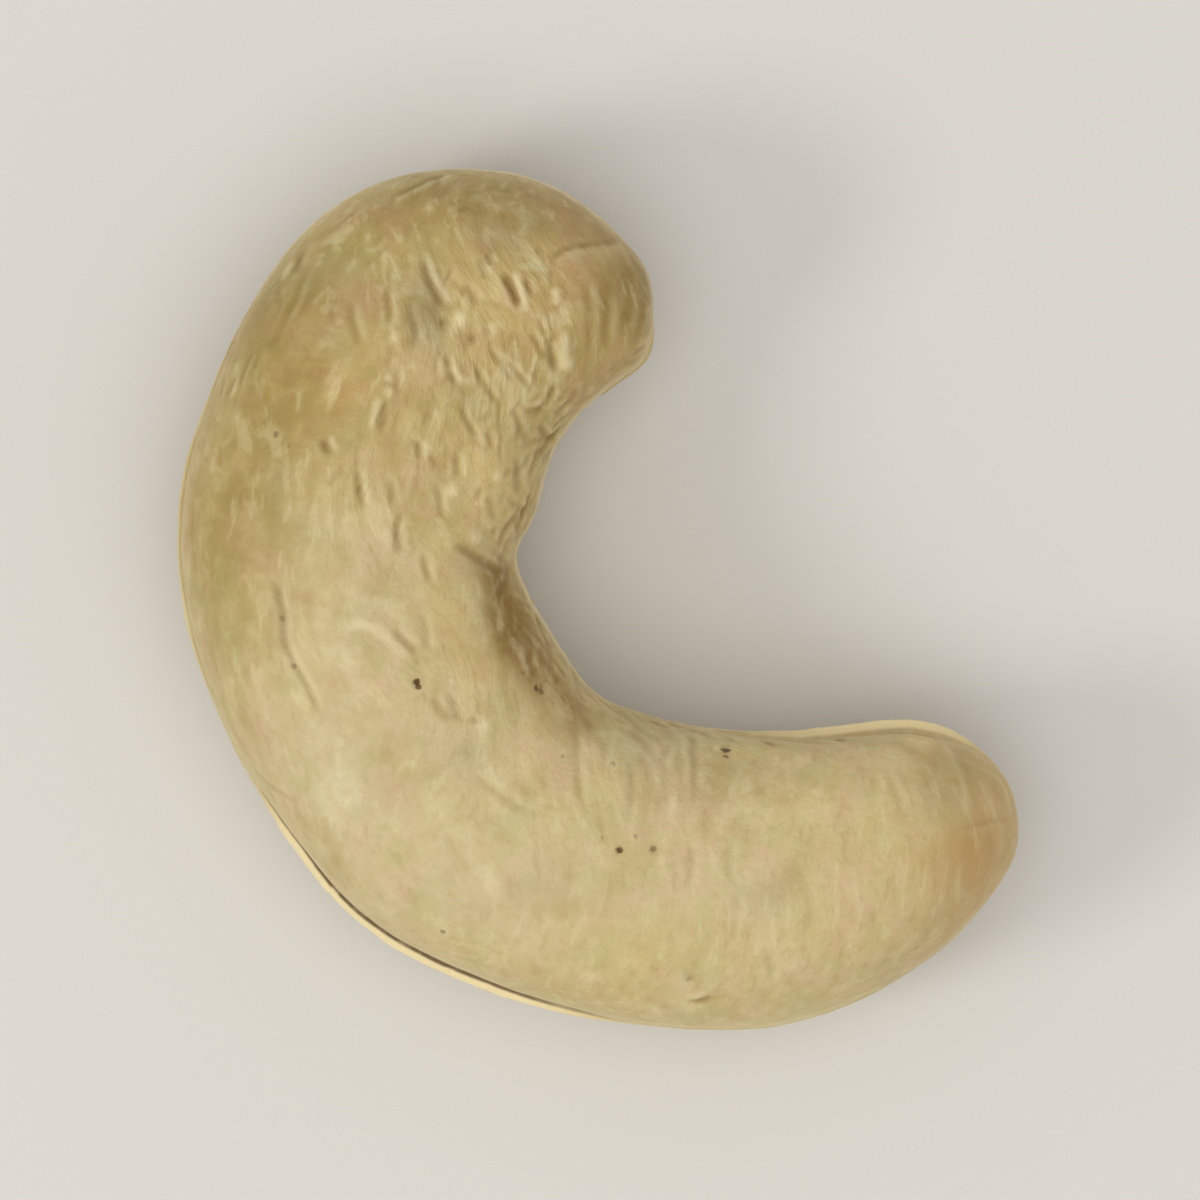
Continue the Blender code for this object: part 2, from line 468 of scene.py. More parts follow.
stroke([(581.8, 768.4), (582.6, 772.4)], 0.7, 0.042)
stroke([(576.2, 772.0), (576.6, 777.8)], 0.7, 0.042)
stroke([(572.9, 777.8), (573.6, 785.0)], 0.7, 0.042)
stroke([(558.4, 774.6), (558.8, 778.4), (559.4, 783.2)], 0.7, 0.050)
stroke([(564.4, 777.0), (564.8, 783.2)], 0.7, 0.038)
stroke([(566.1, 786.2), (566.7, 791.2)], 0.75, 0.050)
stroke([(570.8, 790.6), (571.2, 796.8)], 0.7, 0.036)
stroke([(582.0, 780.0), (582.8, 785.4)], 0.7, 0.036)

stroke([(588.8, 765.8), (590.4, 765.0), (592.2, 764.7)], 0.65, 0.045, dark=0.5)
stroke([(562.8, 760.2), (565.4, 760.8)], 0.65, 0.040, dark=0.4)
stroke([(581.6, 736.8), (582.6, 739.4)], 0.60, 0.055, dark=0.6)
stroke([(574.6, 756.4), (576.6, 759.2), (579.8, 760.8)], 0.75, -0.045)
stroke([(557.2, 745.0), (557.9, 750.2), (559.2, 754.6)], 0.8, 0.030, dark=0.3)
stroke([(594.0, 760.6), (592.6, 763.2)], 0.7, 0.045, dark=0.5)

# the long crease down the bend
stroke([(543.6, 794.6), (544.5, 798.2), (545.5, 801.6), (545.7, 806.7), (547.4, 811.2),
        (550.0, 815.4), (551.8, 820.0)], 0.65, 0.038, 0.7, 0.3, 0.15, dark=0.55)
stroke([(555.2, 803.6), (559.6, 803.0), (563.6, 805.4), (567.0, 808.6), (569.6, 811.4)], 1.2, -0.050)
stroke([(564.6, 804.2), (567.2, 806.6), (569.8, 809.2)], 0.8, 0.040, 0.6, 0.2, dark=0.35)
stroke([(570.0, 800.8), (570.8, 804.4), (571.0, 809.0)], 0.8, 0.036, 0.6, 0.2, dark=0.35)
stroke([(579.0, 819.6), (579.9, 821.4)], 0.7, 0.040, dark=0.45)
stroke([(571.6, 815.6), (573.4, 818.6), (575.8, 821.2)], 0.9, 0.036, dark=0.35)
stroke([(578.2, 829.2), (584.4, 834.6), (591.4, 838.6)], 0.8, 0.024, dark=0.30)
stroke([(574.9, 815.0), (575.8, 818.2), (577.2, 821.6)], 0.8, 0.045)

# the long arm: faint lines across it
stroke([(597.7, 820.6), (598.0, 828.6), (598.3, 838.4)], 0.75, 0.028, 0.9, 0.2, dark=0.30)
stroke([(607.6, 826.6), (607.5, 833.2), (607.1, 840.4)], 0.75, 0.022, dark=0.20)
stroke([(613.0, 825.0), (613.7, 833.0)], 0.75, 0.020, dark=0.18)
stroke([(618.4, 820.6), (618.8, 828.4), (619.0, 836.2)], 0.80, 0.036, 0.3, 0.9, dark=0.40)
stroke([(618.0, 843.0), (617.7, 851.4)], 0.7, 0.024, dark=0.30)
stroke([(602.6, 823.4), (602.8, 830.2)], 0.75, 0.024, dark=0.30)
stroke([(652.4, 828.4), (655.4, 834.6), (657.4, 841.8)], 0.8, 0.018, dark=0.20)
stroke([(648.0, 849.4), (648.8, 857.6)], 0.9, -0.024)

# --- small raised grains and pits: place, radius, depth (negative is raised); pits get painted shade and grains a painted highlight
for x, y, r, d in ((576.9, 748.9, 1.3, -0.070), (574.0, 749.6, 0.8, 0.045), (579.1, 752.4, 0.8, 0.050),
                   (552.8, 771.6, 0.8, 0.020), (569.2, 814.0, 0.6, 0.050), (591.0, 815.3, 0.7, 0.040),
                   (605.4, 843.9, 0.6, 0.045), (611.5, 843.7, 0.6, 0.035), (624.5, 826.0, 0.8, 0.050),
                   (579.4, 787.6, 1.2, -0.050), (581.4, 821.4, 1.1, -0.045), (575.6, 779.6, 1.0, -0.050),
                   (583.4, 777.0, 1.0, -0.045), (565.4, 752.2, 1.0, -0.035), (618.2, 867.0, 0.6, 0.025)):
    grain_spot = blob(x, y, r, r * 1.2) * top
    rise -= d * grain_spot
    painted_crease_shade += 0.55 * grain_spot * (d > 0.0)
    painted_highlight += 9.0 * max(-d, 0.0) * grain_spot
# small pale flecks: a slight rise and a painted highlight
for x, y, r in ((557.8, 739.3, 0.9), (572.0, 728.6, 0.9), (575.4, 725.4, 0.7), (588.5, 733.0, 0.8), (564.9, 749.6, 0.7),
                (555.6, 749.4, 0.7), (579.8, 760.8, 0.9), (583.6, 744.6, 0.7), (591.6, 742.6, 0.7), (568.4, 757.6, 0.8),
                (586.4, 758.0, 0.7), (573.4, 765.4, 0.8), (560.6, 764.4, 0.7), (598.8, 761.0, 0.7), (566.0, 733.4, 0.7)):
    fleck = blob(x + 0.6 * math.sin(7.0 * y), y, r, r * 1.5, 20.0 * math.sin(x)) * top
    rise += 0.008 * fleck
    painted_highlight += 0.40 * fleck * smooth(-0.45, 0.35, small(base / 0.35 + 70.0))

# --- the smooth lobe at the hooked end, with a fine fold along its upper side
lobe_line = rounded([px(*p) for p in ((592.6, 740.0), (593.8, 737.6), (597.0, 736.0), (601.0, 735.6),
                                      (604.4, 735.0), (606.4, 733.4))])
lobe_dist, lobe_side, lobe_along = to_line(xy + 0.5 * jitter, lobe_line)
lobe_ends = smooth(0.0, 0.3, lobe_along) * smooth(0.0, 0.15, 1.0 - lobe_along) * top
rise += 0.034 * smooth(-0.08, 0.12, -lobe_side) * np.exp(-(lobe_dist / 1.3) ** 2) * lobe_ends
dotted = 0.55 + 0.45 * smooth(-0.1, 0.3, small(base / 0.30 + 3.0))
crease = np.exp(-((lobe_side - 0.05) / 0.085) ** 2) * (lobe_dist < 0.5) * lobe_ends
rise -= 0.034 * crease * dotted
# painted shade along the lobe's fold
painted_crease_shade += 0.45 * crease * dotted
rise += 0.05 * blob(604.5, 747.0, 7.5, 10.0, 0, 1.6) * top

# --- the pinch where the inner edge bends most sharply, and the fold that ends in it
fold = rounded([px(*p) for p in ((574.8, 788.6), (577.6, 790.0), (580.6, 792.2), (583.4, 793.6),
                                 (586.4, 794.4))])
fold_dist, fold_side, fold_along = to_line(xy + 0.8 * jitter, fold)
fold_fade = smooth(0.0, 0.25, fold_along) * smooth(0.0, 0.15, 1.0 - fold_along) * top
rise -= 0.062 * np.exp(-(fold_dist / 0.14) ** 2) * fold_fade
rise += 0.034 * np.exp(-((fold_side - 0.36) / 0.22) ** 2) * (fold_dist < 0.9) * fold_fade
# painted shade along the fold, darker towards its end
painted_crease_shade += (0.55 * np.exp(-(fold_dist / 0.13) ** 2) + 0.30 * np.exp(-(fold_dist / 0.30) ** 2)) * fold_fade * (0.6 + 0.5 * fold_along)
rise -= 0.15 * blob(586.5, 802.0, 4.0, 6.5, 0, 1.3) * top
rise += 0.05 * blob(580.5, 781.0, 5.0, 8.0) * top

# --- random short creases over the whole skin, each on its own patch of surface
rng = np.random.RandomState(77)
ahead = np.stack([on_spline(EDGE_X, t + 0.05) + on_spline(EDGE_X, -(t + 0.05))
                  - on_spline(EDGE_X, t - 0.05) - on_spline(EDGE_X, -(t - 0.05)),
                  on_spline(EDGE_Y, t + 0.05) + on_spline(EDGE_Y, -(t + 0.05))
                  - on_spline(EDGE_Y, t - 0.05) - on_spline(EDGE_Y, -(t - 0.05)),
                  np.zeros(count)], 1)
ahead /= np.maximum(np.linalg.norm(ahead, axis=1), 1e-9)[:, None]
area = np.zeros(count)
face_area = 0.5 * np.linalg.norm(np.cross(base[quads[:, 2]] - base[quads[:, 0]],
                                          base[quads[:, 3]] - base[quads[:, 1]]), axis=1)
for k in range(4):
    area += np.bincount(quads[:, k], weights=face_area / 4.0, minlength=count)
order = np.argsort(base[:, 0])
sorted_x = base[order, 0]


def patch(centre, reach):
    """Indices of the points within reach of a centre."""
    lo, hi = np.searchsorted(sorted_x, (centre[0] - reach, centre[0] + reach))
    near = order[lo:hi]
    return near[np.linalg.norm(base[near] - centre, axis=1) < reach]


def scatter(number, weight, angle, spread, length, width, depth, dark):
    """Short grooves with a lip, placed with a probability that follows weight; each gets painted shade along it, scaled
    by dark.
    """
    chance = area * np.maximum(weight, 0.0)
    chance /= chance.sum()
    for v in rng.choice(count, number, p=chance):
        n0 = normal[v]
        steep = 1.0 - abs(n0[2])
        # on the faces they follow the grain; on the walls they run slantwise
        way = ((1.0 - steep) * np.array([math.sin(lean_angle[v]), -math.cos(lean_angle[v]), 0.0])
               + steep * (0.50 * ahead[v] + np.array([0.0, 0.0, 0.80 if seam_height[v] > 0.0 else -0.80])))
        way = way - n0 * (way @ n0)
        way /= max(np.linalg.norm(way), 1e-6)
        turn = angle + rng.normal() * spread
        side = np.cross(way, n0)
        u_axis = way * math.cos(turn) + side * math.sin(turn)
        v_axis = np.cross(n0, u_axis)
        half = 0.5 * length * math.exp(rng.normal() * 0.45)
        w = width * math.exp(rng.normal() * 0.20)
        d = depth * math.exp(rng.normal() * 0.55)
        bend = rng.normal() * 0.09 / half
        near = patch(base[v], half * 1.2 + 3.0 * w)
        rel = base[near] - base[v]
        a, b = rel @ u_axis, rel @ v_axis
        b = b - bend * a * a + 0.03 * np.sin(a * 5.0 + v)
        body = np.clip(1.0 - (a / half) ** 2, 0.0, 1.0) * (normal[near] @ n0 > 0.45)
        right, left = (0.8, 0.25) if rng.uniform() < 0.75 else (0.25, 0.8)
        rise[near] += body * d * fold_shape(b, w, right, left)
        painted_crease_shade[near] += body * np.exp(-(b / w) ** 2) * dark * d / depth


scatter(130, np.maximum(wrinkled - 0.28, 0.0) ** 1.8, 0.0, 0.36, 1.00, 0.100, 0.014, 0.18)
scatter(150, np.maximum(wrinkled - 0.34, 0.0) ** 1.4, 0.0, 0.60, 0.60, 0.095, 0.012, 0.14)
walls = smooth(0.35, 0.80, 1.0 - np.abs(normal[:, 2])) * smooth(0.6, 1.0, np.abs(seam_height))
walls = walls * np.where(on_outer, smooth(1.6, 3.0, np.abs(seam_height)) * (0.25 + 0.6 * smooth(-4.0, 6.0, xy[:, 1])), 1.0)
scatter(300, walls * (0.2 + wrinkled) * np.where((seam_height > 1.0) & on_outer, 0.35, 1.0), 0.0, 0.30, 1.10, 0.135, 0.020, 0.15)
under = (phi < 0.0) * (1.0 - walls)
scatter(120, under * (0.2 + wrinkled), 0.0, 0.32, 1.30, 0.15, 0.014, 0.09)

# --- longer furrows that run into the inside of the bend, on the side walls, with painted shade along them
for k in range(18):
    centre_t = 6.6 + 4.6 * (k + 0.5) / 18.0 + rng.normal() * 0.1
    lift = math.pi - rng.uniform(0.12, 0.50)
    p0 = surface(np.array([centre_t]), np.array([lift if k % 2 else -lift]))[0]
    near = patch(p0, 2.0)
    v = near[np.argmin(np.linalg.norm(base[near] - p0, axis=1))]
    n0 = normal[v]
    u_axis = np.array([0.0, 0.0, 1.0]) - n0 * n0[2] + 0.35 * rng.normal() * ahead[v]
    u_axis /= np.linalg.norm(u_axis)
    v_axis = np.cross(n0, u_axis)
    rel = base[near] - base[v]
    a, b = rel @ u_axis, rel @ v_axis
    b = b - rng.normal() * 0.06 * a * a
    half = rng.uniform(0.8, 1.4)
    body = np.clip(1.0 - (a / half) ** 2, 0.0, 1.0) * (normal[near] @ n0 > 0.3)
    rise[near] += body * (0.028 if k % 2 else 0.055) * fold_shape(b, 0.12, 0.5, 0.4)
    painted_crease_shade[near] += body * np.exp(-(b / 0.12) ** 2) * (0.25 if k % 2 else 0.45)

# --- the seam, a fine line round both edges, with soft lips. Where the halves have
# slipped, the upper one stands back and the lower one makes a ledge.
slip_outer = on_outer * smooth(10.3, 11.4, t) * (1.0 - smooth(13.4, 15.2, t))
slip_inner = ~on_outer * smooth(14.0, 16.4, t) * (1.0 - smooth(17.6, 20.0, t))
slit_reach = on_outer * smooth(6.4, 7.6, t) * (1.0 - smooth(9.4, 10.6, t))
level = 1.0 - np.clip(2.0 * (slip_outer + slip_inner), 0.0, 1.0)
seam_d = seam_height - stray + 0.020 * level * small(base / 0.9 + 5.0)
# it shows as a line only near the ends and at the inner bend, else as a soft dip
shown = np.where(on_outer, 0.22 + 0.55 * (1.0 - smooth(1.2, 3.2, t)) + 0.35 * smooth(17.5, 20.5, t),
                 0.45 + 0.30 * smooth(2.0, 6.0, t) * (1.0 - smooth(12.0, 15.0, t)))
broken = shown * (0.40 + 0.60 * smooth(-0.35, 0.25, wave(base / 2.0 + 130.0)))
rise -= 0.060 * np.exp(-(seam_d / 0.075) ** 2) * broken * level
rise -= 0.030 * np.exp(-(seam_d / 0.60) ** 2) * level
lip = 0.45 + 0.55 * smooth(-0.4, 0.4, wave(base / 3.0 + 170.0))
rise += (0.060 + 0.035 * slit_reach) * lip * np.exp(-((np.abs(seam_d) - 0.28) / 0.18) ** 2) * level
slip = 0.30 * slip_outer + 0.40 * slip_inner
ledge = smooth(-0.04, 0.14, seam_d)
rise -= slip * ledge * (1.0 - smooth(0.2, 3.6, seam_d)) * (1.0 + 0.15 * small(base / 1.6 + 60.0))

# the open slit along the outer edge
slit = slit_reach
slit_width = 0.080 + 0.035 * small(base / 1.1 + 80.0)
rise -= slit * 0.26 * np.exp(-(seam_d / np.maximum(slit_width, 0.035)) ** 2)
rise += slit * 0.050 * np.exp(-((np.abs(seam_d) - 0.28) / 0.15) ** 2)

# --- the embryo's tip at the hooked end: a nub on the seam with cracks round it
nub_at = surface(np.array([0.75]), np.array([math.pi]))[0] - np.array([0.0, 0.0, 0.75])
near = patch(nub_at, 4.5)
rel = base[near] - nub_at
run = np.array([0.25, -1.0, 0.0])
run /= np.linalg.norm(run)
a, b = rel @ run, rel[:, 2] + 0.12 * small(base[near] / 1.2)
oval = np.sqrt((a / 1.15) ** 2 + (b / 0.78) ** 2)
rise[near] += 0.16 * np.exp(-(oval / 0.80) ** 3)
bearing = np.arctan2(b / 0.78, a / 1.15)
cleft = np.exp(-((oval - 1.06) / 0.13) ** 2) * (0.16 + 0.84 * smooth(0.1, 0.9, np.cos(bearing - 0.35)))
rise[near] -= 0.20 * cleft
nub_dark = np.zeros(count)
nub_dark[near] = cleft
nub_mask = np.zeros(count)
nub_mask[near] = np.exp(-(oval / 0.92) ** 6)
nub_pale = np.zeros(count)
nub_pale[near] = np.exp(-(oval / 2.1) ** 4) * (1.0 - nub_mask[near])
for turn, length in ((4, 2.2), (172, 1.3), (-52, 1.8), (-118, 1.1)):
    c, s = math.cos(math.radians(turn)), math.sin(math.radians(turn))
    u = a * c + b * s - 0.80
    v = -a * s + b * c + 0.07 * np.sin(u * 4.0 + turn)
    crack = np.exp(-(v / 0.060) ** 2) * smooth(-0.10, 0.15, u) * (1.0 - smooth(length * 0.4, length, u))
    rise[near] -= 0.045 * crack
    nub_dark[near] = np.maximum(nub_dark[near], 0.42 * crack)

# ================================================================ the final points
points = base + normal * rise[:, None]
# the underside is pressed level where it rests
soft = 0.035
points[:, 2] = np.where(points[:, 2] < soft, soft * np.exp((points[:, 2] - soft) / soft), points[:, 2])

# cavity and crest measure how far the relief dips and rises; they drive painted shade and painted highlights in the
# colour
detail = rise - blurred(rise, quads, 14)
cavity = np.clip(-detail / 0.045, 0.0, 1.0)
crest = np.clip(detail / 0.030, 0.0, 1.0)

kernel_mesh = mesh_from("cashew_kernel_skin", points, quads)
kernel = bpy.data.objects.new("cashew_kernel_skin", kernel_mesh)
bpy.context.scene.collection.objects.link(kernel)
kernel_mesh.shade_smooth()

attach(kernel, "root")
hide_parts(NODE)


def paint(name, values):
    layer = kernel_mesh.attributes.new(name, "FLOAT", "POINT")
    layer.data.foreach_set("value", np.asarray(values, np.float32))


tint = Noise(91)
wander = 0.5 * tint(base / 2.2) + 0.25 * tint(base / 0.9 + 8.0)
# the colour is darker and more golden towards the hooked arm, and palest at the lower left of the bend
paint("arm", smooth(-2.0, 8.0, xy[:, 1] + 1.2 * wander))
# painted shade: the steep walls, picked by their slope
paint("rim", smooth(0.25, 0.95, 1.0 - np.abs(normal[:, 2]) + 0.10 * wander))
# pale flesh at the lower left of the bend and on the long arm, with painted light along the long arm's upper edge where
# its surface turns from the light
paint("pale", np.clip(blob(556, 832, 26, 20, -40, 1.1) + 0.55 * blob(578, 853, 14, 9, -20) + 0.5 * blob(562, 797, 9, 16) + 0.5 * blob(610, 852, 30, 12) + 1.0 * top * blob(615, 825, 12, 4)
              + 0.8 * top * (blob(599.8, 832, 0.7, 10) + blob(603.8, 826, 0.9, 6) + blob(607.0, 833, 0.6, 7)), 0, 1)
      * (0.8 + 0.4 * wander))
paint("olive", np.clip(top * (1.35 * blob(586.2, 802.4, 4.0, 7.4, 12, 1.5) + 0.90 * blob(587.8, 807.6, 3.2, 2.8, 0, 1.4) + 0.85 * blob(582.8, 794.6, 3.4, 1.8, -28) + 0.25 * blob(582, 810, 4, 4) + 0.10 * blob(610.5, 823, 3.0, 6.0, 0, 1.5) + 0.25 * blob(596.5, 822, 1.2, 6) + 0.32 * blob(602, 748, 2.2, 9.0, 0, 1.4)
                              + 0.45 * blob(600, 733, 5.5, 2.6, 0, 1.2) + 0.18 * blob(663, 829, 8, 5, -25)
                              + 0.30 * blob(578, 728, 14, 4.5) + 0.25 * blob(545, 792, 5, 18)), 0, 1) * (1.0 + 0.5 * wander))
paint("tan", np.clip(smooth(7.0, 11.4, xy[:, 0]) * (xy[:, 1] < -2.0) * 0.62 + 0.55 * top * blob(669, 846, 6, 8)
                     + 0.50 * top * blob(593.5, 815, 5, 8, 45) + 0.45 * smooth(-2.5, 1.2, xy[:, 0]) * (xy[:, 1] > 5.0), 0, 1)
      * (1.0 + 0.4 * wander))
paint("brown", top * np.clip(0.40 * blob(608.5, 742, 4.5, 9) + blob(588.5, 809, 3.5, 6, 35) + 0.9 * blob(594.0, 815.0, 3.6, 7, 45) + 0.8 * blob(590.0, 808.2, 2.6, 2.0, 0, 1.5)
                             + 0.65 * blob(597.6, 820.5, 2.2, 3.6, 10, 1.3), 0, 1) * (1.0 + 0.5 * wander))
# painted shade: darker at the left edge of the bend, the hooked end, the top edge of the hooked arm and beside the fold
paint("painted_shade", np.clip(1.15 * blob(546, 756, 12, 19, 20) + 1.0 * blob(535, 790, 9, 26) + top * (1.15 * blob(607, 743, 8, 10) + 0.95 * blob(582.0, 797.5, 4.0, 8, 12)
                   + 0.70 * blob(583, 727, 26, 6)), 0, 1) * (1.0 + 0.5 * wander))
# broad differences in depth of colour, partly the flesh's own and partly painted light and shade that even out the
# shading on slopes: positive is lighter
paint("tone_and_painted_light", top * (0.14 * blob(601.7, 831, 4, 6) + 0.21 * blob(629, 826.5, 11, 2.6) + 0.32 * blob(660, 823.5, 4.5, 3) + 0.20 * blob(581, 778, 5.5, 8)
                     + 0.14 * blob(575.5, 800, 4, 9, 12) + 0.10 * blob(557, 763, 5, 5) + 0.10 * blob(580, 812, 4, 4)
                     + 0.10 * blob(572.5, 792, 2.6, 5) + 0.09 * blob(590, 827, 3, 5) + 0.08 * blob(607, 864, 5, 4) + 0.07 * blob(637, 838, 5, 4)
                     - 0.13 * blob(572.5, 751, 3, 5) - 0.08 * blob(557, 750, 8, 4)
                     - 0.30 * blob(570.2, 746.5, 3.6, 7.5) - 0.17 * blob(584, 735, 8, 4.5) - 0.12 * blob(556, 742, 10, 6)
                     - 0.13 * blob(544.5, 776, 3.5, 9) - 0.08 * blob(551.7, 786, 5, 5) - 0.12 * blob(588.3, 806, 3, 4)
                     - 0.13 * blob(661.7, 834, 4.5, 4) - 0.13 * blob(631.7, 852.5, 5, 4) - 0.08 * blob(591, 850, 5, 4)
                     - 0.09 * blob(577.5, 826.7, 4, 4) - 0.08 * blob(561.7, 835, 4, 5) - 0.09 * blob(545.8, 801, 3, 9)))
# soft darker and paler places on the long arm and the bend
paint("shade", top * np.clip(0.9 * blob(622.5, 831, 3.4, 5.4, 0, 1.5) + 0.7 * blob(635.5, 849.5, 3.6, 3.0, -20) + 0.7 * blob(598, 854, 10, 3.0)
                             + 0.4 * blob(567, 829, 7, 5, 20) + 0.3 * blob(608, 820, 5, 3), 0, 1) * (1.0 + 0.6 * wander))
paint("light", top * np.clip(0.9 * blob(555.5, 833.5, 5.0, 4.2, 0, 1.4) + 0.8 * blob(614.8, 836.5, 1.3, 3.0) + 0.7 * blob(627.6, 854.5, 1.6, 1.8)
                             + 0.7 * blob(636.5, 864.7, 1.1, 1.2) + 0.6 * blob(575.5, 815.5, 0.9, 2.6) + 0.6 * blob(580.4, 823.0, 0.8, 1.6)
                             + 0.5 * blob(617.6, 867.1, 1.6, 1.6) + 0.6 * blob(579, 843, 0.9, 3.5) + 0.6 * blob(554.5, 838.5, 3.5, 1.0, -30)
                             + 0.55 * blob(612, 826.5, 7, 3.2), 0, 1) * (1.0 + 0.5 * wander))
# painted shade and painted highlights for the creases, crests, grains and flecks
paint("cavity", cavity)
paint("crest", crest)
paint("painted_highlight", np.clip(painted_highlight, 0.0, 1.0))
paint("painted_crease_shade", np.clip(painted_crease_shade, 0.0, 1.2))
paint("seam_d", seam_d)
# where a painted highlight runs along the upper edge of the seam
paint("rim_light", smooth(-0.1, 0.1, seam_d) * np.where(on_outer, smooth(2.0, 3.0, t) * (1.0 - smooth(5.5, 7.0, t)),
                                                       smooth(1.0, 2.5, t) * (1.0 - smooth(11.0, 14.0, t))))
paint("broken", broken)
paint("slit", slit)
paint("slip_outer", slip_outer)
paint("slip_inner", slip_inner)
paint("nub", nub_mask)
paint("nub_dark", nub_dark)
paint("nub_pale", nub_pale)
paint("upper", top)
paint("wrinkled", wrinkled)
along_grain = kernel_mesh.attributes.new("grain", "FLOAT_VECTOR", "POINT")
along_grain.data.foreach_set("vector", lean.astype(np.float32).ravel())


# ================================================================ the material
class Graph:
    """Short calls that add shader nodes and join them."""

    def __init__(self, material):
        material.use_nodes = True
        self.tree = material.node_tree
        self.shader = self.tree.nodes["Principled BSDF"]

    def node(self, kind, **settings):
        made = self.tree.nodes.new(kind)
        for key, value in settings.items():
            setattr(made, key, value)
        return made

    def put(self, socket, value):
        if isinstance(value, bpy.types.NodeSocket):
            self.tree.links.new(value, socket)
        else:
            socket.default_value = value

    def attribute(self, name):
        return self.node("ShaderNodeAttribute", attribute_name=name).outputs["Fac"]

    def math(self, operation, a, b=0.0, c=0.0, clamp=False):
        made = self.node("ShaderNodeMath", operation=operation, use_clamp=clamp)
        for socket, value in zip(made.inputs, (a, b, c)):
            self.put(socket, value)
        return made.outputs[0]

    def vector(self, operation, a, b=(0.0, 0.0, 0.0)):
        made = self.node("ShaderNodeVectorMath", operation=operation)
        self.put(made.inputs[0], a)
        self.put(made.inputs[1], b)
        return made.outputs["Value"] if operation in ("LENGTH", "DISTANCE") else made.outputs[0]

    def noise(self, where, scale, detail=2.0, rough=0.5, warp=0.0):
        made = self.node("ShaderNodeTexNoise")
        self.put(made.inputs["Vector"], where)
        made.inputs["Scale"].default_value = scale
        made.inputs["Detail"].default_value = detail
        made.inputs["Roughness"].default_value = rough
        made.inputs["Distortion"].default_value = warp
        return made.outputs["Fac"]

    def spread(self, where, scale):
        made = self.node("ShaderNodeTexNoise")
        self.put(made.inputs["Vector"], where)
        made.inputs["Scale"].default_value = scale
        return made.outputs["Color"]

    def span(self, value, low, high, to_low=0.0, to_high=1.0, smooth_step=True):
        made = self.node("ShaderNodeMapRange", interpolation_type="SMOOTHSTEP" if smooth_step else "LINEAR")
        self.put(made.inputs["Value"], value)
        made.inputs["From Min"].default_value = low
        made.inputs["From Max"].default_value = high
        made.inputs["To Min"].default_value = to_low
        made.inputs["To Max"].default_value = to_high
        return made.outputs["Result"]

    def mix(self, amount, a, b, blend="MIX"):
        made = self.node("ShaderNodeMix", data_type="RGBA", blend_type=blend)
        self.put(made.inputs[0], amount)
        self.put(made.inputs[6], a)
        self.put(made.inputs[7], b)
        return made.outputs[2]


FLESH_GAIN = (1.075, 1.08, 1.10, 1.0)


def rgb(r, g, b):
    """A linear colour from 0..255 display values."""
    def lin(c):
        c /= 255.0
        return c / 12.92 if c <= 0.04045 else ((c + 0.055) / 1.055) ** 2.4
    return (lin(r), lin(g), lin(b), 1.0)


